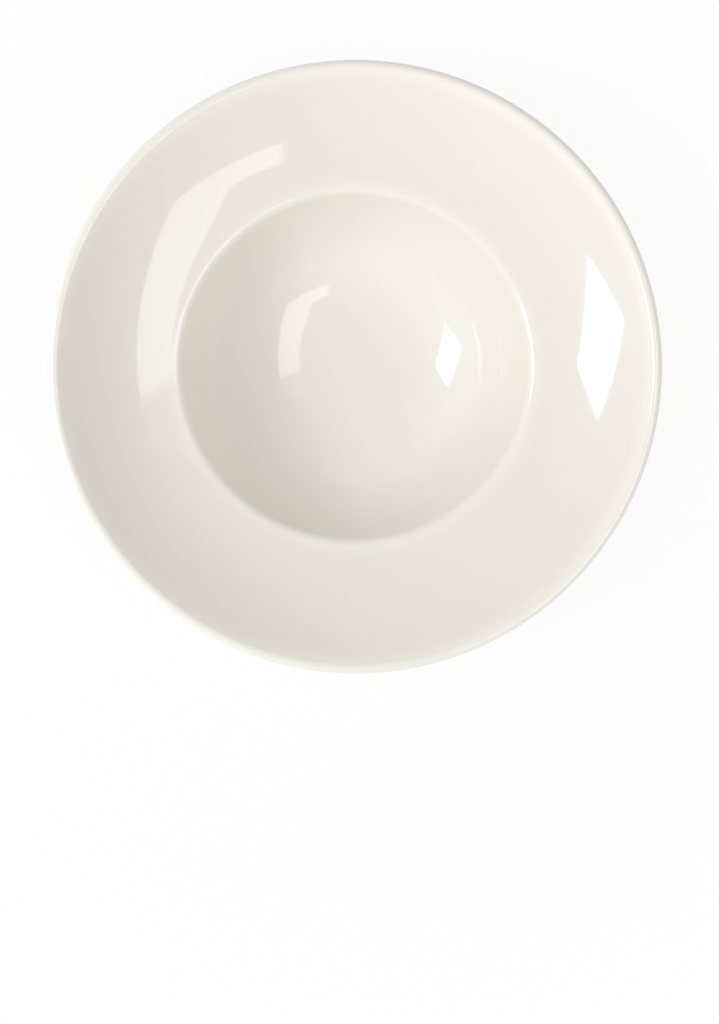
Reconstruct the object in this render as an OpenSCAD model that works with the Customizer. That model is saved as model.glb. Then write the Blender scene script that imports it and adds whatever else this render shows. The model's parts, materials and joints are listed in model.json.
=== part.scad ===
// Pasta bowl with a wide curved rim, a deep round well and a tapered foot ring.
// It is one fired porcelain body. A clear-edged coat of glaze covers it all but the face it stands on.
// Everything is turned about the Z axis, so each outline is a list of [radius, height] points.

/* [Rim] */
// Diameter over the rim
rim_d = 270; // [240:1:300]
// Height from the table to the top of the rim
bowl_h = 85; // [76:1:95]
// Thickness of the rounded lip
lip_t = 5.6; // [4.5:0.1:6.5]
// Radius of the rim's upper curve, seen in section
rim_top_r = 96; // [85:1:120]
// Radius of the rim's under curve, seen in section
rim_under_r = 105; // [90:1:125]
// Thickness of the rim where it meets the well
rim_root_t = 8; // [6.5:0.1:9]

/* [Well] */
// Diameter of the well at its edge
well_d = 160; // [148:1:170]
// Depth of the well's edge below the top of the rim
well_drop = 27; // [23:0.5:31]
// Rounding of the well's edge
well_edge_r = 5; // [4:0.5:7]
// Radius of the well's side curve, seen in section
side_r = 62; // [57:1:68]
// Radius of the shallow curve of the well's floor
floor_r = 200; // [150:5:300]
// Thickness of the floor
floor_t = 6.2; // [5:0.1:8]
// Thickness of the well's wall at its top
wall_t = 3.8; // [3.2:0.1:4.8]
// Thickness of the well's wall just above the foot
heel_t = 6.4; // [5.4:0.1:7.4]
// Hollow rounding under the rim, where the wall starts
neck_r = 2; // [1:0.5:4]

/* [Foot] */
// Diameter of the foot ring where it stands
foot_d = 78; // [70:1:88]
// Width of the foot ring where it stands
foot_w = 4.6; // [3.8:0.1:6]
// Lean of the foot's outer side from upright
foot_lean = 33; // [25:1:38]
// Lean of the foot's inner side from upright
foot_inner_lean = 25; // [15:1:35]
// Rounding of the foot's lower edges
foot_edge_r = 1.2; // [0.8:0.1:1.6]
// Hollow rounding above the foot's outer side
heel_r = 2; // [1:0.5:4]
// Depth of the hollow under the floor
hollow_h = 3.6; // [3.2:0.1:4.6]
// Rounding inside that hollow
hollow_r = 2; // [1:0.1:2.3]

/* [Glaze] */
// Thickness of the glaze
glaze_t = 0.3; // [0.2:0.05:0.45]
// Height of the bare band at the foot, where the glaze is wiped off
bare_h = 1.5; // [1.3:0.05:1.8]

/* [Smoothness] */
// How closely the short flats of an outline follow its curves
curve_tol = 0.02; // [0.01:0.005:0.1]
// Steps round the full turn
turn_steps = 144; // [48:12:360]

/* [Hidden] */
// Part of the wall's curve over which it thickens towards the foot
heel_turn = 42;
glaze_color = [0.93, 0.91, 0.87];
bare_color = [0.88, 0.84, 0.77];
down = -90;
up = 90;
half_turn = 180;

// Where two circles cross, on the left (1) or the right (-1) of the way from the first centre to the second
function crossing(c1, r1, c2, r2, side) =
    let (d = norm(c2 - c1))
    let (along = (r1 * r1 - r2 * r2 + d * d) / (2 * d))
    let (aside = sqrt(r1 * r1 - along * along))
    let (u = (c2 - c1) / d)
    c1 + along * u + side * aside * [-u[1], u[0]];

// Direction from one point to another
function bearing(a, b) = atan2(b[1] - a[1], b[0] - a[0]);

// Unit vector in a direction
function toward(angle) = [cos(angle), sin(angle)];

// Points of an arc after its start: a drawn radius r, moved out by the amount grow
function arc(c, r, grow, a0, a1) =
    let (n = ceil(abs(a1 - a0) / (2 * acos(1 - curve_tol / r))))
    [for (i = [1 : n]) c + (r + grow) * toward(a0 + (a1 - a0) * i / n)];

// Centres of the curves, from the lip inwards over the top
lip_r = lip_t / 2;
lip_c = [rim_d / 2 - lip_r, bowl_h - lip_r];
well_edge = [well_d / 2, bowl_h - well_drop];
rim_top_c = crossing(lip_c, rim_top_r + lip_r, well_edge, rim_top_r, -1);
floor_z = hollow_h + floor_t;
floor_c = [0, floor_z + floor_r];
side_c = crossing(floor_c, floor_r - side_r, well_edge, side_r, -1);
roll_c = crossing(rim_top_c, rim_top_r + well_edge_r, side_c, side_r + well_edge_r, 1);

// Centres of the curves underneath
neck = crossing(rim_top_c, rim_top_r + rim_root_t, side_c, side_r + wall_t, 1);
rim_under_c = crossing(lip_c, rim_under_r - lip_r, neck, rim_under_r, -1);
back_r = side_r + wall_t + (heel_t - wall_t) / (1 - cos(heel_turn));
back_c = neck + back_r * toward(bearing(neck, side_c));
neck_c = crossing(rim_under_c, rim_under_r + neck_r, back_c, back_r + neck_r, 1);

// Foot: its two lower edges, and the ways its outer and inner sides face and rise
outer_edge_c = [foot_d / 2 - foot_edge_r, foot_edge_r];
inner_edge_c = [foot_d / 2 - foot_w + foot_edge_r, foot_edge_r];
outer_face = toward(-foot_lean);
outer_rise = toward(up - foot_lean);
inner_face = toward(foot_inner_lean - half_turn);
inner_rise = toward(up + foot_inner_lean);

// Hollow rounding between the foot's outer side and the wall
heel_start = outer_edge_c + (foot_edge_r + glaze_t + heel_r) * outer_face;
heel_reach = back_r + heel_r;
heel_w = heel_start - back_c;
heel_climb = -heel_w * outer_rise - sqrt(pow(heel_w * outer_rise, 2) - heel_w * heel_w + heel_reach * heel_reach);
heel_c = heel_start + heel_climb * outer_rise;

// Rounding inside the hollow under the floor
hollow_z = hollow_h - hollow_r;
hollow_gap = foot_edge_r + glaze_t + hollow_r;
hollow_x = inner_edge_c[0] - (hollow_gap + sin(foot_inner_lean) * (hollow_z - foot_edge_r)) / cos(foot_inner_lean);
hollow_c = [hollow_x, hollow_z];

// How far up each side of the foot the glaze begins
outer_bare = (bare_h - foot_edge_r * (1 - sin(foot_lean))) / cos(foot_lean);
inner_bare = (bare_h - foot_edge_r * (1 - sin(foot_inner_lean))) / cos(foot_inner_lean);

// Outline from the middle of the floor over the lip to the glaze's lower edge, at a depth under the glazed face
function upper_skin(depth) = concat(
    [[0, floor_z - depth]],
    arc(floor_c, floor_r, depth, down, bearing(floor_c, side_c)),
    arc(side_c, side_r, depth, bearing(floor_c, side_c), bearing(side_c, roll_c)),
    arc(roll_c, well_edge_r, -depth, bearing(side_c, roll_c) + half_turn, bearing(roll_c, rim_top_c)),
    arc(rim_top_c, rim_top_r, depth, bearing(roll_c, rim_top_c) - half_turn, bearing(rim_top_c, lip_c)),
    arc(lip_c, lip_r, -depth, bearing(lip_c, rim_top_c), bearing(rim_under_c, lip_c)),
    arc(rim_under_c, rim_under_r, -depth, bearing(rim_under_c, lip_c), bearing(rim_under_c, neck_c)),
    arc(neck_c, neck_r, depth, bearing(neck_c, rim_under_c), bearing(neck_c, back_c)),
    arc(back_c, back_r, -depth, bearing(neck_c, back_c) - half_turn, bearing(back_c, heel_c)),
    arc(heel_c, heel_r, depth, bearing(heel_c, back_c), half_turn - foot_lean),
    [outer_edge_c + (foot_edge_r + glaze_t - depth) * outer_face + outer_bare * outer_rise]
);

// Outline inside the foot ring, from the glaze's lower edge to the axis
function under_skin(depth) = concat(
    [inner_edge_c + (foot_edge_r + glaze_t - depth) * inner_face + inner_bare * inner_rise],
    [hollow_c + (hollow_r + depth) * toward(foot_inner_lean)],
    arc(hollow_c, hollow_r, depth, foot_inner_lean, up),
    [[0, hollow_h + depth]]
);

// Bare lower part of the foot ring, with its two rounded edges
function bare_foot() = concat(
    [outer_edge_c + foot_edge_r * outer_face],
    arc(outer_edge_c, foot_edge_r, 0, -foot_lean, down),
    [[inner_edge_c[0], 0]],
    arc(inner_edge_c, foot_edge_r, 0, down, foot_inner_lean - half_turn)
);

// The same points in the opposite order
function backwards(points) = [for (i = [len(points) - 1 : -1 : 0]) points[i]];

// An outline turned into a solid
module turned(points) {
    rotate_extrude($fn = turn_steps)
        polygon(points);
}

// Fired body, bare only on the lower part of the foot ring
module porcelain_body() {
    color(bare_color)
        turned(concat(upper_skin(glaze_t), bare_foot(), under_skin(glaze_t)));
}

// Glaze over the well, the rim, the outside and the foot's outer side
module glaze_coat() {
    color(glaze_color)
        turned(concat(upper_skin(0), backwards(upper_skin(glaze_t))));
}

// Glaze inside the foot ring
module base_glaze() {
    color(glaze_color)
        turned(concat(under_skin(0), backwards(under_skin(glaze_t))));
}

porcelain_body();
glaze_coat();
base_glaze();
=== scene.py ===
# %% [markdown]
# # A glazed pasta bowl
# A pasta bowl is one piece of fired porcelain under a hard, glossy coat of glaze. Nothing on it is
# joined, hinged or printed, so the whole job is a true section, an even turn and a good glaze.
# Each step below says what a piece or a finish is on the real bowl, how it could be made in Blender,
# and why it is made this way.

# %% [markdown]
# ## Load the measured model
# The measured solids come in first and stay where they are. Everything made here is drawn round the same
# axis in the same place, in metres, so nothing has to be fitted by eye.

import json
import math

import bmesh
import bpy
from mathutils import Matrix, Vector

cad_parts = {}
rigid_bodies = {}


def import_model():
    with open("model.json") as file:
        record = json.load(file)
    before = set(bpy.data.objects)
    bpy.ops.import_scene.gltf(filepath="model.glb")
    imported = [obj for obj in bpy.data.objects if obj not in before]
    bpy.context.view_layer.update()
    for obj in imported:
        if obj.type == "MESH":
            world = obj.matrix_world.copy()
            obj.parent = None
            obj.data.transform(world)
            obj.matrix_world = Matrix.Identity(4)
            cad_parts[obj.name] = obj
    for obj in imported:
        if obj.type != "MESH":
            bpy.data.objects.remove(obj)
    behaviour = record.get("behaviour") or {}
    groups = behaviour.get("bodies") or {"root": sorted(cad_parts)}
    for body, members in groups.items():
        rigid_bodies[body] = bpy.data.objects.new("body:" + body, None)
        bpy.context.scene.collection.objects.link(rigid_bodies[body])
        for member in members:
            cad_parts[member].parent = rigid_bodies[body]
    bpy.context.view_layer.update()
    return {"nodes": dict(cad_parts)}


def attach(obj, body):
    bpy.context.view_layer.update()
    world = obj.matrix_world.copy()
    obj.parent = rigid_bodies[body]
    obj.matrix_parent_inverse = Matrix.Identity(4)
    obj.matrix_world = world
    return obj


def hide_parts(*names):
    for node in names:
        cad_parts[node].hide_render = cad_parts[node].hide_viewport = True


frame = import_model()
MM = 0.001
print("nodes:", sorted(frame["nodes"]))

# %% [markdown]
# ## The bowl's sizes
# A potter works from a handful of sizes: how wide the rim is, how high it stands, how thick the lip
# is and how tightly each part curves. The section is drawn from these alone. They could be typed in
# as a list of points, but then no curve would stay smooth when one of them changes.

# %% The bowl's sizes, in millimetres and degrees
RIM_D, BOWL_H, LIP_T = 270, 85, 5.6
RIM_TOP_R, RIM_UNDER_R, RIM_ROOT_T = 96, 105, 8
WELL_D, WELL_DROP, WELL_EDGE_R = 160, 27, 5
SIDE_R, FLOOR_R, FLOOR_T = 62, 200, 6.2
WALL_T, HEEL_T, HEEL_TURN, NECK_R = 3.8, 6.4, 42, 2
FOOT_D, FOOT_W, FOOT_LEAN, FOOT_INNER_LEAN = 78, 4.6, 33, 25
FOOT_EDGE_R, HEEL_R, HOLLOW_H, HOLLOW_R = 1.2, 2, 3.6, 2
GLAZE_T, BARE_H = 0.3, 1.5
print("rim", RIM_D, "mm wide, bowl", BOWL_H, "mm high, glaze", GLAZE_T, "mm thick")

# %% [markdown]
# ## Geometry for arcs that touch
# Where one curve of the bowl runs into the next, there is no corner: both circles share a tangent.
# The centre of the next circle then lies where two larger circles cross, and that crossing is all
# the geometry the section needs. An arc gets as many points as its bend and its length ask for.

# %% Geometry for arcs that touch
MOST_BEND = 6  # most bend from one point of an arc to the next, in degrees


def toward(angle):
    """The unit vector in a direction, in degrees."""
    return Vector((math.cos(math.radians(angle)), math.sin(math.radians(angle))))


def bearing(start, end):
    """The direction from one point to another, in degrees."""
    return math.degrees(math.atan2(end[1] - start[1], end[0] - start[0]))


def crossing(c1, r1, c2, r2, side):
    """Where two circles cross, on the left (1) or the right (-1) of the way between their centres."""
    way = c2 - c1
    along = (r1 * r1 - r2 * r2 + way.length_squared) / (2 * way.length)
    aside = math.sqrt(r1 * r1 - along * along)
    ahead = way.normalized()
    return c1 + along * ahead + side * aside * Vector((-ahead[1], ahead[0]))


def arc(centre, radius, a0, a1, step):
    """Points of an arc after its first, no further apart than the step or than the most bend."""
    bend = abs(a1 - a0)
    count = max(1, math.ceil(bend / MOST_BEND), math.ceil(math.radians(bend) * radius / step))
    return [centre + radius * toward(a0 + (a1 - a0) * i / count) for i in range(1, count + 1)]


met = crossing(Vector((0, 0)), 5, Vector((6, 0)), 5, 1)
print("two circles of radius 5 round (0, 0) and (6, 0) cross at", tuple(met))

# %% [markdown]
# ## The centres of the upper curves
# From the lip inwards there are the rim's dished face, the soft roll into the well, the well's side
# and its nearly flat floor. Each centre follows from the sizes and from its neighbours, so no
# centre is typed in, and a change of one size moves all of them.

# %% The centres of the upper curves
lip_r = LIP_T / 2
lip_c = Vector((RIM_D / 2 - lip_r, BOWL_H - lip_r))
well_edge = Vector((WELL_D / 2, BOWL_H - WELL_DROP))
rim_top_c = crossing(lip_c, RIM_TOP_R + lip_r, well_edge, RIM_TOP_R, -1)
floor_z = HOLLOW_H + FLOOR_T
floor_c = Vector((0, floor_z + FLOOR_R))
side_c = crossing(floor_c, FLOOR_R - SIDE_R, well_edge, SIDE_R, -1)
roll_c = crossing(rim_top_c, RIM_TOP_R + WELL_EDGE_R, side_c, SIDE_R + WELL_EDGE_R, 1)
print("rim's upper curve round", [round(v, 1) for v in rim_top_c], "mm")
print("roll into the well round", [round(v, 1) for v in roll_c], "mm")

# %% [markdown]
# ## The centres of the curves underneath
# Underneath there are the rim's lower face, the tight hollow where the wall starts, and the wall.
# The neck is the point where the rim and the wall, each at its own thickness, would meet in a sharp
# corner. The wall's outer circle is a little larger than its inner one and starts from the neck, so
# the wall grows thicker towards the foot, as a turned wall does.

# %% The centres of the curves underneath
neck = crossing(rim_top_c, RIM_TOP_R + RIM_ROOT_T, side_c, SIDE_R + WALL_T, 1)
rim_under_c = crossing(lip_c, RIM_UNDER_R - lip_r, neck, RIM_UNDER_R, -1)
back_r = SIDE_R + WALL_T + (HEEL_T - WALL_T) / (1 - math.cos(math.radians(HEEL_TURN)))
back_c = neck + back_r * toward(bearing(neck, side_c))
neck_c = crossing(rim_under_c, RIM_UNDER_R + NECK_R, back_c, back_r + NECK_R, 1)
print("wall's outer curve, radius", round(back_r, 1), "mm, round", [round(v, 1) for v in back_c], "mm")

# %% [markdown]
# ## The foot
# The foot is a leaning ring with two small rounded edges, a soft hollow above its outer side and a
# shallow hollow inside it. Its sides are straight, so each is a face direction and a rise direction,
# and the soft hollow's centre is slid up the side until it touches the wall.

# %% The foot
outer_edge_c = Vector((FOOT_D / 2 - FOOT_EDGE_R, FOOT_EDGE_R))
inner_edge_c = Vector((FOOT_D / 2 - FOOT_W + FOOT_EDGE_R, FOOT_EDGE_R))
outer_face, outer_rise = toward(-FOOT_LEAN), toward(90 - FOOT_LEAN)
inner_face, inner_rise = toward(FOOT_INNER_LEAN - 180), toward(90 + FOOT_INNER_LEAN)

heel_start = outer_edge_c + (FOOT_EDGE_R + GLAZE_T + HEEL_R) * outer_face
heel_w = heel_start - back_c
heel_lean = heel_w.dot(outer_rise)
heel_climb = -heel_lean - math.sqrt(heel_lean**2 - heel_w.length_squared + (back_r + HEEL_R) ** 2)
heel_c = heel_start + heel_climb * outer_rise

hollow_z = HOLLOW_H - HOLLOW_R
hollow_gap = FOOT_EDGE_R + GLAZE_T + HOLLOW_R
hollow_lean = math.radians(FOOT_INNER_LEAN)
hollow_reach = hollow_gap + math.sin(hollow_lean) * (hollow_z - FOOT_EDGE_R)
hollow_c = Vector((inner_edge_c[0] - hollow_reach / math.cos(hollow_lean), hollow_z))


def bare_length(lean):
    """How far up a leaning side of the foot the bare band goes, from the rounded edge's centre."""
    tilt = math.radians(lean)
    return (BARE_H - FOOT_EDGE_R * (1 - math.sin(tilt))) / math.cos(tilt)


outer_bare, inner_bare = bare_length(FOOT_LEAN), bare_length(FOOT_INNER_LEAN)
print("bare length up the outer side", round(outer_bare, 2), "mm, the inner", round(inner_bare, 2), "mm")

# %% [markdown]
# ## The section
# One function walks over the top of the bowl, from the middle of the floor to the foot, and one runs
# inside the foot ring. Both take a depth below the glazed face, so the glaze's outer face, its back
# and the body under it are the same lines, and the coat has one thickness everywhere.

# %% The section
FINE, PLAIN = 1.7, 4.0  # longest steps along a face that shows and along one that doesn't, in mm


def upper_bends(depth):
    """The arcs over the top of the bowl: each one's centre, radius, and first and last direction."""
    return [
        (floor_c, FLOOR_R + depth, -90, bearing(floor_c, side_c)),
        (side_c, SIDE_R + depth, bearing(floor_c, side_c), bearing(side_c, roll_c)),
        (roll_c, WELL_EDGE_R - depth, bearing(side_c, roll_c) + 180, bearing(roll_c, rim_top_c)),
        (rim_top_c, RIM_TOP_R + depth, bearing(roll_c, rim_top_c) - 180, bearing(rim_top_c, lip_c)),
        (lip_c, lip_r - depth, bearing(lip_c, rim_top_c), bearing(rim_under_c, lip_c)),
        (rim_under_c, RIM_UNDER_R - depth, bearing(rim_under_c, lip_c), bearing(rim_under_c, neck_c)),
        (neck_c, NECK_R + depth, bearing(neck_c, rim_under_c), bearing(neck_c, back_c)),
        (back_c, back_r - depth, bearing(neck_c, back_c) - 180, bearing(back_c, heel_c)),
        (heel_c, HEEL_R + depth, bearing(heel_c, back_c), 180 - FOOT_LEAN),
    ]


def upper_skin(depth, step):
    """From the middle of the floor over the lip to the foot, at a depth under the glazed face."""
    line = [Vector((0, floor_z - depth))]
    for bend in upper_bends(depth):
        line += arc(*bend, step)
    return line


def under_skin(depth, step):
    """From the hollow's rounding inside the foot ring to the axis, at a depth under the glazed face."""
    line = [hollow_c + (HOLLOW_R + depth) * toward(FOOT_INNER_LEAN)]
    line += arc(hollow_c, HOLLOW_R + depth, FOOT_INNER_LEAN, 90, step)
    start, end = line[-1], Vector((0, HOLLOW_H + depth))
    count = math.ceil((start - end).length / step)
    return line + [start.lerp(end, i / count) for i in range(1, count + 1)]


section = upper_skin(0, FINE)
outermost, highest = max(p[0] for p in section), max(p[1] for p in section)
print(len(section), "points, out to radius", round(outermost, 2), "mm, up to", round(highest, 2), "mm")

# %% [markdown]
# ## The wiped line at the foot
# Before firing, the glaze is wiped off the ring that the bowl stands on, or it would stick to the
# kiln shelf. In the fire the edge that is left draws itself into a round bead. The bead is a quarter
# of an ellipse here, and the bare ring below it is two small arcs and a flat.

# %% The wiped line at the foot
EDGE_STEP = 0.3  # longest step round the ring's small edges, in mm
BEAD = 0.55  # length over which the coat rounds down to the body, in mm
BEAD_TURN = 15  # turn from one point of the bead to the next, in degrees


def bare_foot():
    """The bare lower part of the foot ring, from the outer wiped line to the inner one."""
    line = [outer_edge_c + FOOT_EDGE_R * outer_face + outer_bare * outer_rise]
    line += [outer_edge_c + FOOT_EDGE_R * outer_face]
    line += arc(outer_edge_c, FOOT_EDGE_R, -FOOT_LEAN, -90, EDGE_STEP)
    line += [Vector((inner_edge_c[0], 0))]
    line += arc(inner_edge_c, FOOT_EDGE_R, -90, FOOT_INNER_LEAN - 180, EDGE_STEP)
    return line + [inner_edge_c + FOOT_EDGE_R * inner_face + inner_bare * inner_rise]


def wiped_edge(edge_c, face, rise, bare):
    """The coat's rounded lower edge, from its face down to the body."""
    return [
        edge_c + (FOOT_EDGE_R + GLAZE_T * math.cos(a)) * face + (bare + BEAD * (1 - math.sin(a))) * rise
        for a in (math.radians(angle) for angle in range(0, 90 + BEAD_TURN, BEAD_TURN))
    ]


outer_lip = wiped_edge(outer_edge_c, outer_face, outer_rise, outer_bare)
inner_lip = wiped_edge(inner_edge_c, inner_face, inner_rise, inner_bare)
print("the outer bead ends", round(outer_lip[-1][1], 2), "mm above the table")

# %% [markdown]
# ## Where the glaze runs thick and thin, and where light and shade are painted
# Molten glaze pulls away from sharp convex edges, such as the lip, and gathers in hollows, such as the
# corner under the rim. It also runs down the well's steep side and settles on its level floor. The same
# value also paints light and shade into the colour: a paler lip as a painted highlight, a deeper corner
# under the rim as painted shade, a paler steep side of the well and a paler outer wall as painted light, and
# a deeper well floor as painted shade. The bend and the slope of the section say which is which, so a value
# for both is worked out along the outline, and the colour can follow it later. Painting it by hand would be
# the other way, but the rule does it evenly all round the bowl.

# %% Where the glaze runs thick and thin, and where light and shade are painted
REACH = 5.0  # how far the melt evens itself out, in mm
FULL_BEND = 0.9  # bend within that reach that fills a hollow, deep as painted shade, or bares an edge, pale as a painted highlight, in radians
ON_LEVEL = 0.45  # what the well's level floor gains, deeper as painted shade
RUN_OFF = 22  # slope that takes a whole 1 off that, so the steep side turns pale as painted light, in degrees
STEEP, OFF_WALL = 50, -0.5  # slope from which the outer wall loses melt and turns pale as painted light, in degrees, and how much


def settled_painted_light_and_shade(point, step):
    """More melt and painted shade on the well's level floor, less melt and painted light on its steep side
    and on the outer wall.
    """
    slope = math.degrees(math.atan2(abs(step[1]), abs(step[0])))
    if step[0] > 0 and point[0] < WELL_D / 2:
        return max(-1.0, ON_LEVEL - slope / RUN_OFF)
    return OFF_WALL if slope > STEEP and step[1] < 0 else 0.0


def pooling_painted_light_and_shade(line):
    """A value for each point, from -1 where the melt is thinnest and the painted light strongest to 1 where
    it is thickest and the painted shade deepest.
    """
    along, bend, stays_painted_light_and_shade = [0.0], [0.0], []
    for a, b in zip(line, line[1:]):
        along.append(along[-1] + (b - a).length)
        stays_painted_light_and_shade.append(settled_painted_light_and_shade(a, b - a))
    stays_painted_light_and_shade.append(stays_painted_light_and_shade[-1])
    for a, b, c in zip(line, line[1:], line[2:]):
        u, v = (b - a).normalized(), (c - b).normalized()
        bend.append(u[0] * v[1] - u[1] * v[0])
    bend.append(0.0)
    soft = []
    for here in along:
        near = [math.exp(-(((s - here) / REACH) ** 2)) for s in along]
        # The bend part gives a paler lip as a painted highlight and a deeper corner under the rim as painted
        # shade, besides the melt's real thinning and pooling.
        gathered_painted_light_and_shade = sum(k * n for k, n in zip(bend, near)) / FULL_BEND
        # The slope part gives painted shade on the well's floor and painted light on its steep side and on
        # the outer wall.
        kept = sum(k * n for k, n in zip(stays_painted_light_and_shade, near)) / sum(near)
        soft.append(max(-1.0, min(1.0, gathered_painted_light_and_shade + kept)))
    return soft


pools_painted_light_and_shade = pooling_painted_light_and_shade(section)
# The palest point has thin melt and painted light, and the deepest has thick melt and painted shade.
thinnest_with_painted_light, thickest_with_painted_shade = section[pools_painted_light_and_shade.index(min(pools_painted_light_and_shade))], section[pools_painted_light_and_shade.index(max(pools_painted_light_and_shade))]
print("melt thinnest at height", round(thinnest_with_painted_light[1], 1), "mm, thickest at", round(thickest_with_painted_shade[1], 1), "mm")

# %% [markdown]
# ## Outlines ready to be turned
# Each piece's outline is a string of points that starts and ends on the axis, so that turning it makes a
# closed solid. Three values go with every point: the pooling with its painted light and shade, whether its
# face shows, and which way the point may slide where the glaze was wiped off by hand. They are mesh
# attributes, so the turning below can read them.

# %% Outlines ready to be turned
BEAD_POOLING = -0.25  # the melt's thinning towards the wiped line
STILL = Vector((0, 0))


def outline_mesh(name, rows):
    """A mesh of points and edges in the XZ plane; each row is (point, pooling, shows, slide)."""
    mesh = bpy.data.meshes.new(name)
    points = [(row[0][0] * MM, 0.0, row[0][1] * MM) for row in rows]
    mesh.from_pydata(points, [(i, i + 1) for i in range(len(points) - 1)], [])
    for label, column in (("pooling_painted_light_and_shade", 1), ("shows", 2)):
        layer = mesh.attributes.new(label, "FLOAT", "POINT")
        layer.data.foreach_set("value", [float(row[column]) for row in rows])
    slide = mesh.attributes.new("slide", "FLOAT_VECTOR", "POINT")
    slide.data.foreach_set("vector", [v for row in rows for v in (row[3][0], 0.0, row[3][1])])
    return mesh


coat_rows = [(p, k, 1, STILL) for p, k in zip(section, pools_painted_light_and_shade)]
coat_rows += [(p, BEAD_POOLING * i / len(outer_lip), 0, outer_rise) for i, p in enumerate(outer_lip)]
coat_rows += [(p, 0, 0, STILL) for p in reversed(upper_skin(GLAZE_T, PLAIN))]

hollow = under_skin(0, FINE)
base_rows = [(p, 0, 0, STILL) for p in reversed(under_skin(GLAZE_T, PLAIN))]
for i, p in enumerate(reversed(inner_lip)):
    base_rows.append((p, BEAD_POOLING * (1 - i / len(inner_lip)), 0, inner_rise))
base_rows += [(p, k, 1, STILL) for p, k in zip(hollow, pooling_painted_light_and_shade(hollow))]

body_rows = [(p, 0, 0, STILL) for p in upper_skin(GLAZE_T, PLAIN)]
body_rows += [(p, 0, 1, STILL) for p in bare_foot()]
body_rows += [(p, 0, 0, STILL) for p in under_skin(GLAZE_T, PLAIN)]
print("points of coat, base glaze, body:", len(coat_rows), len(base_rows), len(body_rows))

# %% [markdown]
# ## Small tools for node trees
# A node tree made in a script takes one line for each node and one for each link, which soon hides
# what it does. A few helpers make a node, fill in its inputs and hand back its output, so that a
# tree reads like a sum. A number goes into an input as its value, and an output is linked to it.

# %% Small tools for node trees
def add(tree, kind, inputs=None, **settings):
    """A new node in a tree, with its own settings and its inputs: a value, or an output to link."""
    made = tree.nodes.new(kind)
    for label, value in settings.items():
        setattr(made, label, value)
    for label, value in (inputs or {}).items():
        if isinstance(value, bpy.types.NodeSocket):
            tree.links.new(value, made.inputs[label])
        else:
            made.inputs[label].default_value = value
    return made


def math_node(tree, operation, *values):
    """A Math node's output; each value is a number or an output."""
    return add(tree, "ShaderNodeMath", dict(enumerate(values)), operation=operation).outputs[0]


def vector_node(tree, operation, a, b):
    """A Vector Math node's output. Scale takes its number on a socket of its own."""
    second = "Scale" if operation == "SCALE" else 1
    return add(tree, "ShaderNodeVectorMath", {0: a, second: b}, operation=operation).outputs[0]


def noise(tree, place, scale, detail, roughness=0.5, seed=0.0):
    """Noise from 0 to 1. The seed moves it along a fourth axis, so it is the same on every run."""
    takes = {"Vector": place, "W": seed, "Scale": scale, "Detail": detail, "Roughness": roughness}
    return add(tree, "ShaderNodeTexNoise", takes, noise_dimensions="4D").outputs[0]


def fractal(tree, place, size, detail, roughness=0.5, seed=0.0):
    """The same noise, with patches about as wide as the size, in metres."""
    return noise(tree, place, math_node(tree, "DIVIDE", 1.0, size), detail, roughness, seed)


print("tools ready:", [tool.__name__ for tool in (add, math_node, vector_node, noise, fractal)])

# %% [markdown]
# ## A wheel made of Geometry Nodes
# Everything on this bowl is turned round one axis. A Spin or a Screw modifier would do that, but a
# node tree also lets the same turn carry the attributes, add the slight unevenness of a real fired
# face, and make the hand-wiped line waver. Its inputs have names, so one wheel turns every piece.

# %% A wheel made of Geometry Nodes
WHEEL_INPUTS = (
    ("Steps", "Int"), ("Unevenness", "Float"), ("Patch size", "Float"), ("Edge waver", "Float"),
    ("Waves round the edge", "Float"), ("Seed", "Float"), ("Finish", "Material"),
)
wheel = bpy.data.node_groups.new("potters_wheel", "GeometryNodeTree")
wheel.interface.new_socket("Outline", in_out="INPUT", socket_type="NodeSocketGeometry")
for label, kind in WHEEL_INPUTS:
    wheel.interface.new_socket(label, in_out="INPUT", socket_type="NodeSocket" + kind)
wheel.interface.new_socket("Turned", in_out="OUTPUT", socket_type="NodeSocketGeometry")
given = wheel.nodes.new("NodeGroupInput").outputs
outline = given["Outline"]
print("the wheel takes", [label for label, kind in WHEEL_INPUTS])

# %% [markdown]
# ## One column of points for each step
# The tree starts with a flat grid: a column of points for each step of the turn, and one more that
# closes it, with a row for each point of the outline. A point's number gives its column and its row,
# the column gives the angle that it is turned by, and the row gives the outline's point it copies.

# %% One column of points for each step
steps = given["Steps"]
rows = add(wheel, "GeometryNodeAttributeDomainSize", {"Geometry": outline}).outputs["Point Count"]
columns = math_node(wheel, "ADD", steps, 1)
grid = add(wheel, "GeometryNodeMeshGrid", {"Vertices X": columns, "Vertices Y": rows}).outputs["Mesh"]
index = wheel.nodes.new("GeometryNodeInputIndex").outputs[0]
column = math_node(wheel, "FLOOR", math_node(wheel, "DIVIDE", index, rows))
row = math_node(wheel, "SUBTRACT", index, math_node(wheel, "MULTIPLY", column, rows))
turned_share = math_node(wheel, "DIVIDE", math_node(wheel, "MODULO", column, steps), steps)
angle = math_node(wheel, "MULTIPLY", turned_share, math.tau)


def on_outline(kind, value):
    """What a value is at the outline's point that a grid point copies."""
    takes = {"Geometry": outline, "Value": value, "Index": row}
    return add(wheel, "GeometryNodeSampleIndex", takes, data_type=kind, domain="POINT").outputs[0]


def stored(label, kind):
    """A mesh attribute, by its name."""
    made = add(wheel, "GeometryNodeInputNamedAttribute", {"Name": label}, data_type=kind)
    return made.outputs["Attribute"]


def turn(vector):
    """A vector of the outline, turned about the axis by the column's angle."""
    takes = {"Vector": vector, "Angle": angle}
    return add(wheel, "ShaderNodeVectorRotate", takes, rotation_type="Z_AXIS").outputs[0]


print("the grid and its angles take", len(wheel.nodes), "nodes")

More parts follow.
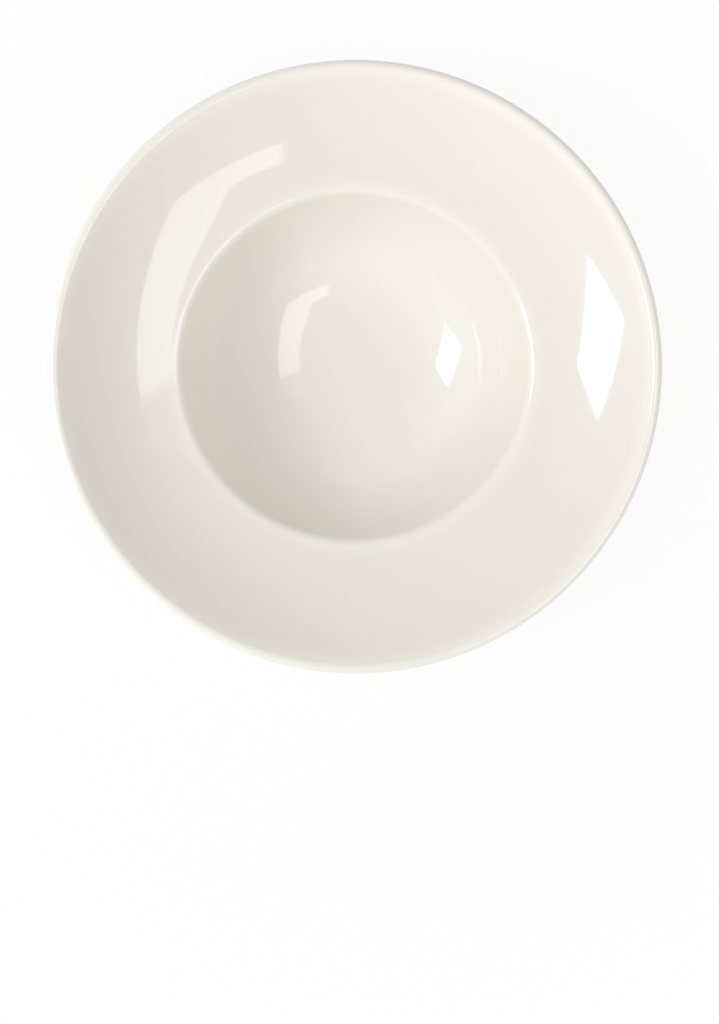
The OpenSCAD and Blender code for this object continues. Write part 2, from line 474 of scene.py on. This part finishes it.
# %% [markdown]
# ## The turn and the wavering line
# Each grid point goes to its place round the axis. At the wiped line it also slides a little up or
# down the foot's side. The noise that moves it is read on a circle, so it meets itself after a full
# turn. Merging by distance then welds the seam, and the many points that lie on the axis.

# %% The turn and the wavering line
WELD = 0.002 * MM  # points closer than this become one
waver = noise(wheel, turn((1.0, 0.0, 0.0)), given["Waves round the edge"], 2.0, seed=given["Seed"])
waver = math_node(wheel, "SUBTRACT", waver, 0.5)
slide = vector_node(wheel, "SCALE", turn(on_outline("FLOAT_VECTOR", stored("slide", "FLOAT_VECTOR"))), waver)
slide = vector_node(wheel, "SCALE", slide, given["Edge waver"])
drawn = wheel.nodes.new("GeometryNodeInputPosition").outputs[0]
place = vector_node(wheel, "ADD", turn(on_outline("FLOAT_VECTOR", drawn)), slide)
solid = add(wheel, "GeometryNodeSetPosition", {"Geometry": grid, "Position": place}).outputs[0]
for label in ("pooling_painted_light_and_shade", "shows"):
    takes = {"Geometry": solid, "Name": label, "Value": on_outline("FLOAT", stored(label, "FLOAT"))}
    kept = add(wheel, "GeometryNodeStoreNamedAttribute", takes, data_type="FLOAT", domain="POINT")
    solid = kept.outputs[0]
solid = add(wheel, "GeometryNodeMergeByDistance", {"Geometry": solid, "Distance": WELD}).outputs[0]
solid = add(wheel, "GeometryNodeFlipFaces", {"Mesh": solid}).outputs[0]
print("points welded within", WELD / MM, "mm, and faces turned outwards")

# %% [markdown]
# ## The unevenness of a fired face
# A fired face is never quite true. It sinks a little in broad soft patches, which bend a reflection
# far more than they change the shape. The points move inwards only, and only where the face shows,
# so the bowl stays inside the measured one. Realizing and setting the material end the tree, since
# an export leaves out instances.

# %% The unevenness of a fired face
where = wheel.nodes.new("GeometryNodeInputPosition").outputs[0]
patches = fractal(wheel, where, given["Patch size"], 1.0, seed=given["Seed"])
sunk = math_node(wheel, "MULTIPLY", math_node(wheel, "SUBTRACT", patches, 1.0), given["Unevenness"])
sunk = math_node(wheel, "MULTIPLY", sunk, stored("shows", "FLOAT"))
inwards = vector_node(wheel, "SCALE", wheel.nodes.new("GeometryNodeInputNormal").outputs[0], sunk)
solid = add(wheel, "GeometryNodeSetPosition", {"Geometry": solid, "Offset": inwards}).outputs[0]
solid = add(wheel, "GeometryNodeSetShadeSmooth", {"Geometry": solid}).outputs[0]
solid = add(wheel, "GeometryNodeRealizeInstances", {"Geometry": solid}).outputs[0]
solid = add(wheel, "GeometryNodeSetMaterial", {"Geometry": solid, "Material": given["Finish"]}).outputs[0]
wheel.links.new(solid, wheel.nodes.new("NodeGroupOutput").inputs["Turned"])
print("the wheel's tree has", len(wheel.nodes), "nodes")

# %% [markdown]
# ## Nodes shared by the finishes
# A shader node group works like a small tool that every material can pick up with its own settings.
# Four are enough here: the melt's colour, the ripple of a poured glaze, the rings left by turning,
# and the grain of fired clay. They read Object coordinates, so a pattern has its real size in metres.

# %% Nodes shared by the finishes
def new_group(name, takes, gives):
    """A shader node group with named inputs (name, kind, default) and outputs (name, kind)."""
    group = bpy.data.node_groups.new(name, "ShaderNodeTree")
    for label, kind, value in takes:
        socket = group.interface.new_socket(label, in_out="INPUT", socket_type="NodeSocket" + kind)
        if value is not None:
            socket.default_value = value
    for label, kind in gives:
        group.interface.new_socket(label, in_out="OUTPUT", socket_type="NodeSocket" + kind)
    print("group", name, "takes", [label for label, kind, value in takes])
    return group, group.nodes.new("NodeGroupInput").outputs, group.nodes.new("NodeGroupOutput").inputs


def spread(tree, value, low, high, out_low=0.0, out_high=1.0):
    """A value moved from one range to another and kept inside it."""
    takes = {"Value": value, "From Min": low, "From Max": high, "To Min": out_low, "To Max": out_high}
    return add(tree, "ShaderNodeMapRange", takes, clamp=True).outputs[0]


def mix(tree, share, first, second):
    """A colour that goes from the first to the second as the share goes from 0 to 1."""
    takes = {"Factor": share, 6: first, 7: second}
    return add(tree, "ShaderNodeMix", takes, data_type="RGBA").outputs[2]


print("tools for finishes ready:", [tool.__name__ for tool in (new_group, spread, mix)])

# %% [markdown]
# ## The melt's colour, with painted light and shade
# A thin glaze is paler and a thick one is deeper, because light passes through more of it. The colour goes
# from thin over even to deep with the pooling, which also carries painted light and shade, so the pale end
# is partly painted light and the deep end partly painted shade, and soft clouds shift it a little
# everywhere, as no melt is quite the same all over.

# %% The melt's colour, with painted light and shade
WHITE = (1, 1, 1, 1)
melt_colour_painted_light_and_shade, given, out = new_group(
    "melt_colour_painted_light_and_shade",
    [
        ("Position", "Vector", None), ("Pooling with painted light and shade", "Float", 0.0),
        ("Thin with painted light", "Color", WHITE), ("Even", "Color", WHITE), ("Deep with painted shade", "Color", WHITE),
        ("Cloud size", "Float", 0.05), ("Cloud strength", "Float", 0.3),
    ],
    [("Colour", "Color")],
)
clouds = fractal(melt_colour_painted_light_and_shade, given["Position"], given["Cloud size"], 3.0, roughness=0.45)
clouds = math_node(melt_colour_painted_light_and_shade, "SUBTRACT", clouds, 0.5)
# The depth is the pooling with its painted light and shade, shifted by the clouds.
depth = math_node(melt_colour_painted_light_and_shade, "MULTIPLY_ADD", clouds, given["Cloud strength"], given["Pooling with painted light and shade"])
deeper_and_painted_shade = mix(melt_colour_painted_light_and_shade, spread(melt_colour_painted_light_and_shade, depth, 0.0, 1.0), given["Even"], given["Deep with painted shade"])
thinner_and_painted_light = mix(melt_colour_painted_light_and_shade, spread(melt_colour_painted_light_and_shade, depth, 0.0, -1.0), deeper_and_painted_shade, given["Thin with painted light"])
melt_colour_painted_light_and_shade.links.new(thinner_and_painted_light, out["Colour"])

# %% [markdown]
# ## The ripple of a poured glaze
# A poured glaze has broad soft waves, a fine orange peel and a rare pinhole, where a bubble broke and
# didn't close. Waves and peel are two noises of different sizes. The pinholes are the middles of a
# few of the cells of a Voronoi texture, picked by the cell's own random colour.

# %% The ripple of a poured glaze
CLOSED_CELLS = 0.93  # share of the cells that have no pinhole
PINHOLE_RIM, PINHOLE_FLOOR = 0.018, 0.008  # where a pinhole starts and is deepest, in spacings
melt_surface, given, out = new_group(
    "melt_surface",
    [
        ("Position", "Vector", None),
        ("Wave size", "Float", 0.02), ("Wave height", "Float", 0.00001),
        ("Peel size", "Float", 0.003), ("Peel height", "Float", 0.000002),
        ("Pinhole spacing", "Float", 0.012), ("Pinhole depth", "Float", 0.00003),
    ],
    [("Height", "Float"), ("Haze", "Float"), ("Pinhole", "Float")],
)
waves = fractal(melt_surface, given["Position"], given["Wave size"], 1.0)
waves = math_node(melt_surface, "MULTIPLY", waves, given["Wave height"])
peel = fractal(melt_surface, given["Position"], given["Peel size"], 2.0, seed=3.0)
peel = math_node(melt_surface, "MULTIPLY", peel, given["Peel height"])

cell_scale = math_node(melt_surface, "DIVIDE", 1.0, given["Pinhole spacing"])
takes = {"Vector": given["Position"], "Scale": cell_scale, "Randomness": 1.0}
cells = add(melt_surface, "ShaderNodeTexVoronoi", takes).outputs
lot = add(melt_surface, "ShaderNodeSeparateColor", {"Color": cells["Color"]}).outputs[0]
rare = math_node(melt_surface, "GREATER_THAN", lot, CLOSED_CELLS)
pit = spread(melt_surface, cells["Distance"], PINHOLE_RIM, PINHOLE_FLOOR)
pit = math_node(melt_surface, "MULTIPLY", pit, rare)

height = math_node(melt_surface, "ADD", waves, peel)
dent = math_node(melt_surface, "MULTIPLY", pit, given["Pinhole depth"])
melt_surface.links.new(math_node(melt_surface, "SUBTRACT", height, dent), out["Height"])
haze = fractal(melt_surface, given["Position"], given["Wave size"], 3.0, roughness=0.6, seed=7.0)
melt_surface.links.new(haze, out["Haze"])
melt_surface.links.new(pit, out["Pinhole"])

# %% [markdown]
# ## The rings left by turning
# A turning tool leaves fine rings round the axis, which show through a thin glaze and on bare clay.
# They are noise again, but it reads only the distance from the axis, so it is the same all the way
# round. Real rings are uneven in width, which noise gives and a sine wave wouldn't.

# %% The rings left by turning
turning_rings, given, out = new_group(
    "turning_rings",
    [("Position", "Vector", None), ("Pitch", "Float", 0.0015), ("Ring height", "Float", 0.000004)],
    [("Height", "Float")],
)
split = add(turning_rings, "ShaderNodeSeparateXYZ", {"Vector": given["Position"]}).outputs
flat = add(turning_rings, "ShaderNodeCombineXYZ", {"X": split["X"], "Y": split["Y"]}).outputs[0]
radius = add(turning_rings, "ShaderNodeVectorMath", {0: flat}, operation="LENGTH").outputs["Value"]
spot = add(turning_rings, "ShaderNodeCombineXYZ", {"X": radius}).outputs[0]
rings = fractal(turning_rings, spot, given["Pitch"], 2.0, roughness=0.6, seed=11.0)
rings = math_node(turning_rings, "MULTIPLY", rings, given["Ring height"])
turning_rings.links.new(rings, out["Height"])

# %% [markdown]
# ## The grain of fired clay
# Bare porcelain is close-grained. It has a fine roughness that a finger can feel, and a faint fleck
# of paler and darker grains. The fleck's patches are a few times as wide as the grain's.

# %% The grain of fired clay
FLECK_TO_GRAIN = 4.0  # how many grains wide a fleck is
fired_grain, given, out = new_group(
    "fired_grain",
    [("Position", "Vector", None), ("Grain size", "Float", 0.0003), ("Grain height", "Float", 0.00002)],
    [("Height", "Float"), ("Fleck", "Float")],
)
grain = fractal(fired_grain, given["Position"], given["Grain size"], 4.0, roughness=0.65, seed=17.0)
grain = math_node(fired_grain, "MULTIPLY", grain, given["Grain height"])
fired_grain.links.new(grain, out["Height"])
fleck_size = math_node(fired_grain, "MULTIPLY", given["Grain size"], FLECK_TO_GRAIN)
fleck = fractal(fired_grain, given["Position"], fleck_size, 2.0, seed=23.0)
fired_grain.links.new(fleck, out["Fleck"])

# %% [markdown]
# ## The ivory glaze
# A fired glaze is a thin layer of glass over pale clay. Seen from where it is used, it is an opaque ivory
# with a hard, sharp gloss, so one Principled shader with a low roughness does it, and real glass over a
# second surface would only add noise. What makes it a glaze is the rest: the reflections bend a little on
# the ripple, and the tone drifts with the thickness and with the painted light and shade that ride on the
# same value.

# %% The ivory glaze
IVORY = (0.872, 0.835, 0.762, 1)
# The thin colour is also painted light on the lip, the well's steep side and the outer wall, and the deep
# colour is also painted shade in the corner under the rim and on the well's floor.
THIN_AND_PAINTED_LIGHT = (0.908, 0.876, 0.805, 1)
DEEP_AND_PAINTED_SHADE = (0.838, 0.792, 0.708, 1)
PINHOLE_BROWN, PINHOLE_SHARE = (0.42, 0.35, 0.26, 1), 0.35
SHARP, HAZY = 0.045, 0.075  # roughness where the gloss is clearest and where it is dullest
CLEAR_TO, DULL_FROM = 0.3, 0.7  # values of the haze up to which and from which it is so
GLAZE_IOR = 1.52


def use(tree, group, inputs):
    """The outputs of a shared group, placed in a material with its own values."""
    return add(tree, "ShaderNodeGroup", inputs, node_tree=group).outputs


def new_material(name):
    """A material with a Principled shader, and its node tree, shader and Object coordinates."""
    material = bpy.data.materials.new(name)
    material.use_nodes = True
    tree = material.node_tree
    place = tree.nodes.new("ShaderNodeTexCoord").outputs["Object"]
    return material, tree, tree.nodes["Principled BSDF"], place


def bump(tree, height):
    """A Bump node's output for a height in metres."""
    takes = {"Height": height, "Distance": 1.0, "Strength": 1.0}
    return add(tree, "ShaderNodeBump", takes).outputs["Normal"]


def glaze_material(name, wave_height, ring_pitch, ring_height):
    """The glaze, with its own amount of ripple and of rings showing through, in metres."""
    material, tree, shader, place = new_material(name)
    # The pooling attribute carries painted light and shade besides the melt's thickness.
    pooled_painted_light_and_shade = add(tree, "ShaderNodeAttribute", attribute_name="pooling_painted_light_and_shade").outputs["Fac"]
    tone_painted_light_and_shade = use(tree, melt_colour_painted_light_and_shade, {
        "Position": place, "Pooling with painted light and shade": pooled_painted_light_and_shade, "Thin with painted light": THIN_AND_PAINTED_LIGHT, "Even": IVORY, "Deep with painted shade": DEEP_AND_PAINTED_SHADE,
        "Cloud size": 0.06, "Cloud strength": 0.35,
    })
    face = use(tree, melt_surface, {
        "Position": place, "Wave size": 0.022, "Wave height": wave_height, "Peel size": 0.0026,
        "Peel height": 0.0000012, "Pinhole spacing": 0.011, "Pinhole depth": 0.00004,
    })
    rings = use(tree, turning_rings, {"Position": place, "Pitch": ring_pitch, "Ring height": ring_height})
    browned = math_node(tree, "MULTIPLY", face["Pinhole"], PINHOLE_SHARE)
    tree.links.new(mix(tree, browned, tone_painted_light_and_shade["Colour"], PINHOLE_BROWN), shader.inputs["Base Color"])
    tree.links.new(spread(tree, face["Haze"], CLEAR_TO, DULL_FROM, SHARP, HAZY), shader.inputs["Roughness"])
    height = math_node(tree, "ADD", face["Height"], rings["Height"])
    tree.links.new(bump(tree, height), shader.inputs["Normal"])
    shader.inputs["IOR"].default_value = GLAZE_IOR
    return material


coat_finish = glaze_material("ivory_glaze", 0.000010, 0.0030, 0.0000008)
base_finish = glaze_material("ivory_glaze_inside_foot", 0.000008, 0.0016, 0.0000060)
print("glaze roughness from", SHARP, "to", HAZY, "and IOR", GLAZE_IOR)

# %% [markdown]
# ## The bare clay of the foot
# Only the ring that the bowl stands on has no glaze, because glaze there would weld it to the kiln
# shelf. Fired porcelain is close-grained, warm white and matt, and the standing face is rubbed
# smooth so that it doesn't scratch a table. The height above the table picks out that face.

# %% The bare clay of the foot
DARK_GRAIN, PALE_GRAIN = (0.60, 0.535, 0.440, 1), (0.76, 0.700, 0.605, 1)
RUBBED_CLAY, RUBBED_SHARE = (0.70, 0.655, 0.580, 1), 0.6
RUBBED_TOP, RUBBED_FACE = 0.00035, 0.00002  # heights where rubbing stops and where it is full, in m
MATT, RUBBED_SMOOTH = 0.82, 0.5  # roughness of the clay as fired and as rubbed
GRAIN_LEFT = 0.35  # share of the grain's height that is left after rubbing
clay_finish, tree, shader, place = new_material("fired_porcelain")
grain = use(tree, fired_grain, {"Position": place, "Grain size": 0.00028, "Grain height": 0.000022})
rings = use(tree, turning_rings, {"Position": place, "Pitch": 0.0007, "Ring height": 0.000006})
level = add(tree, "ShaderNodeSeparateXYZ", {"Vector": place}).outputs["Z"]
rubbed = spread(tree, level, RUBBED_TOP, RUBBED_FACE)
clay = mix(tree, grain["Fleck"], DARK_GRAIN, PALE_GRAIN)
clay = mix(tree, math_node(tree, "MULTIPLY", rubbed, RUBBED_SHARE), clay, RUBBED_CLAY)
tree.links.new(clay, shader.inputs["Base Color"])
tree.links.new(spread(tree, rubbed, 0.0, 1.0, MATT, RUBBED_SMOOTH), shader.inputs["Roughness"])
rough = math_node(tree, "MULTIPLY", grain["Height"], spread(tree, rubbed, 0.0, 1.0, 1.0, GRAIN_LEFT))
tree.links.new(bump(tree, math_node(tree, "ADD", rough, rings["Height"])), shader.inputs["Normal"])
shader.inputs["IOR"].default_value = 1.5
print("bare band", BARE_H, "mm high, matt above and rubbed below", RUBBED_TOP / MM, "mm")

# %% [markdown]
# ## Turn the three pieces
# The modifier's inputs are set by their identifiers before anything is evaluated, and then the
# result is taken over as a plain mesh. Each piece stands for the measured solid with the same job,
# stays at the origin and goes with the bowl's one body.

# %% Turn the three pieces
STEPS = 240  # columns round the full turn


def measure(name, mesh):
    """Prints a mesh's triangles and volume, and how many of its edges are open."""
    check = bmesh.new()
    check.from_mesh(mesh)
    open_edges = sum(not edge.is_manifold for edge in check.edges)
    triangles = sum(len(face.verts) - 2 for face in check.faces)
    volume = check.calc_volume(signed=True) / MM**3 / 1000
    check.free()
    print(name, "-", triangles, "triangles, volume", round(volume, 2), "cm3, open edges", open_edges)


def turned(name, outline_rows, finish, node, settings):
    """Turns an outline on the wheel and puts a plain mesh object in place of a measured node."""
    blank = bpy.data.objects.new(name + "_outline", outline_mesh(name + "_outline", outline_rows))
    bpy.context.scene.collection.objects.link(blank)
    modifier = blank.modifiers.new("wheel", "NODES")
    modifier.node_group = wheel
    to_set = {"Steps": STEPS, "Finish": finish, **settings}
    for item in wheel.interface.items_tree:
        if item.item_type == "SOCKET" and item.in_out == "INPUT" and item.name in to_set:
            modifier[item.identifier] = to_set.pop(item.name)
    assert not to_set, f"the wheel has no input named {sorted(to_set)}"
    mesh = bpy.data.meshes.new_from_object(blank.evaluated_get(bpy.context.evaluated_depsgraph_get()))
    mesh.name = name
    bpy.data.objects.remove(blank)
    piece = bpy.data.objects.new(name, mesh)
    bpy.context.scene.collection.objects.link(piece)
    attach(piece, "root")
    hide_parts(node)
    measure(name, mesh)


turned("glaze_over_bowl", coat_rows, coat_finish, "glaze_coat", {
    "Unevenness": 0.10 * MM, "Patch size": 0.045,
    "Edge waver": 0.9 * MM, "Waves round the edge": 3.0, "Seed": 4.0,
})
turned("glaze_inside_foot", base_rows, base_finish, "base_glaze", {
    "Unevenness": 0.06 * MM, "Patch size": 0.030,
    "Edge waver": 0.9 * MM, "Waves round the edge": 2.5, "Seed": 9.0,
})
turned("fired_body", body_rows, clay_finish, "porcelain_body", {
    "Unevenness": 0.0, "Patch size": 0.05,
    "Edge waver": 0.0, "Waves round the edge": 1.0, "Seed": 0.0,
})

# %% [markdown]
# ## The white floor
# The bowl stands on a plain white sweep. The floor takes the bowl's soft shadow. Where a camera or a
# reflection sees it, it is lifted towards white, least of all round the foot, so the shadow stays
# and no extra light has to fall on the bowl. The Light Path node tells such rays from light that is
# still on its way.

# %% The white floor
FLOOR_SIZE = 6.0
FLOOR_PAINT = (0.95, 0.95, 0.95, 1)
AT_FOOT, AT_RIM, IN_THE_OPEN = 0.06, 0.17, 0.45  # distances from the axis, in metres
FOOT_LIFT, RIM_LIFT, REST_OF_LIFT = 0.60, 0.93, 0.07  # how far towards white, and what is then left


def seen_directly(tree):
    """1 for what the camera, a reflection or a transparency sees, and 0 for light on its way."""
    rays = tree.nodes.new("ShaderNodeLightPath").outputs
    seen = math_node(tree, "MAXIMUM", rays["Is Camera Ray"], rays["Is Glossy Ray"])
    return math_node(tree, "MAXIMUM", seen, rays["Is Transmission Ray"])


bpy.ops.mesh.primitive_plane_add(size=FLOOR_SIZE)
floor = bpy.context.object
floor.name = "floor"
floor_paint, tree, shader, place = new_material("white_sweep")
floor.data.materials.append(floor_paint)
shader.inputs["Base Color"].default_value = FLOOR_PAINT
shader.inputs["Roughness"].default_value = 0.9
shader.inputs["Specular IOR Level"].default_value = 0.0
away = add(tree, "ShaderNodeVectorMath", {0: place}, operation="LENGTH").outputs["Value"]
near_bowl = spread(tree, away, AT_FOOT, AT_RIM, FOOT_LIFT, RIM_LIFT)
further = spread(tree, away, AT_RIM, IN_THE_OPEN, 0.0, REST_OF_LIFT)
lift = math_node(tree, "MULTIPLY", math_node(tree, "ADD", near_bowl, further), seen_directly(tree))
white = add(tree, "ShaderNodeEmission", {"Color": WHITE, "Strength": 1.0}).outputs[0]
mixed = add(tree, "ShaderNodeMixShader", {0: lift, 1: shader.outputs[0], 2: white}).outputs[0]
tree.links.new(mixed, tree.nodes["Material Output"].inputs["Surface"])
print("floor", FLOOR_SIZE, "m wide, lifted from", AT_FOOT, "m round the axis outwards")

# %% [markdown]
# ## The room's light
# The room's light is soft and a little warmer than the lamps. It comes more from the front left, and
# more from low down, as from white walls, which keeps the lip and the outer wall from going dull.
# Where the camera or a reflection sees the room, it is plain white.

# %% The room's light
ROOM, ROOM_TINT = 0.51, (1.0, 0.945, 0.91, 1)  # level and colour
TO_WINDOWS = (-0.108, -0.165, 0.0)  # which way the level grows, and how much
WHITE_WALLS, WALL_TOP = 0.5, 0.45  # what low walls add, and how high up, where 1 is overhead
bpy.context.scene.view_settings.view_transform = "Standard"
world = bpy.data.worlds.new("studio")
bpy.context.scene.world = world
world.use_nodes = True
tree = world.node_tree
ahead = tree.nodes.new("ShaderNodeTexCoord").outputs["Generated"]
growth = add(tree, "ShaderNodeVectorMath", {0: ahead, 1: TO_WINDOWS}, operation="DOT_PRODUCT")
height = add(tree, "ShaderNodeSeparateXYZ", {"Vector": ahead}).outputs["Z"]
low_walls = spread(tree, height, 0.0, WALL_TOP, WHITE_WALLS, 0.0)
level = math_node(tree, "ADD", math_node(tree, "ADD", growth.outputs["Value"], ROOM), low_walls)
seen = seen_directly(tree)
strength = spread(tree, seen, 0.0, 1.0, level, 1.0)
tree.links.new(strength, tree.nodes["Background"].inputs["Strength"])
tree.links.new(mix(tree, seen, ROOM_TINT, WHITE), tree.nodes["Background"].inputs["Color"])
print("room's light", ROOM, "from above, and", ROOM + WHITE_WALLS, "from low down")

# %% [markdown]
# ## The soft boxes
# A glossy bowl is drawn by what it mirrors. A strong soft box on the left gives the bright patch on
# the right of the rim and its repeat in the well. Two weaker ones meet in an L on the right and in
# front, and give the long band on the left, which a faint third one lets fade out.

# %% The soft boxes
LAMP_Z = 0.90  # height of the lamps above the table, in metres
COOL, COOLER = (0.886, 0.966, 1.0), (0.874, 0.919, 1.0)


def soft_box(name, x, y, size, radiance, tint, twist, lean=(0.0, 0.0)):
    """An area lamp that faces down, leaning about X and Y and then twisted about Z, in degrees."""
    width, height = size
    lamp = bpy.data.lights.new(name, "AREA")
    lamp.shape, lamp.size, lamp.size_y = "RECTANGLE", width, height
    lamp.energy, lamp.color = radiance * math.pi * width * height, tint
    holder = bpy.data.objects.new(name, lamp)
    bpy.context.scene.collection.objects.link(holder)
    holder.location = (x, y, LAMP_Z)
    holder.rotation_euler = [math.radians(angle) for angle in (*lean, twist)]
    print(name, [round(v, 2) for v in holder.location], "m,", round(lamp.energy, 1), "W")


soft_box("left_box", -0.905, -0.104, (0.38, 0.525), 11.1, COOL, twist=-34.8, lean=(25.5, -10.4))
soft_box("side_box", 0.370, -0.166, (0.292, 0.425), 3.3, COOLER, twist=13.5)
soft_box("side_fade", 0.309, 0.089, (0.292, 0.10), 0.65, COOLER, twist=13.5)
soft_box("front_box", 0.3865, -0.493, (0.412, 0.22), 3.0, COOLER, twist=13.5)

# %% [markdown]
# ## The camera
# The photograph looks straight down on the bowl from a little over half a metre above the rim, with
# the bowl high in the picture. The same view comes from the same height, with the lens shifted down,
# because tilting the camera would turn the round rim into an oval.

# %% The camera
LENS_ABOVE_RIM = 0.540  # metres
LENS, SENSOR = 43.36, 36  # millimetres
PHOTO_HEIGHT = 1024  # pixels, the longer side, which a shift is measured by
SHIFT_X, SHIFT_Y = 4.3, -145.3  # pixels
camera_data = bpy.data.cameras.new("camera")
camera = bpy.data.objects.new("camera", camera_data)
bpy.context.scene.collection.objects.link(camera)
bpy.context.scene.camera = camera
camera.location = (0, 0, BOWL_H * MM + LENS_ABOVE_RIM)
camera_data.lens = LENS
camera_data.sensor_width = SENSOR
camera_data.shift_x = SHIFT_X / PHOTO_HEIGHT
camera_data.shift_y = SHIFT_Y / PHOTO_HEIGHT
print("camera", round(camera.location.z, 3), "m above the table, lens", LENS, "mm")

# %% [markdown]
# ## Bring the scene up to date
# The dressed bowl has to stay inside the measured one. The scene is brought up to date at the end.

# %% Bring the scene up to date
bpy.context.view_layer.update()
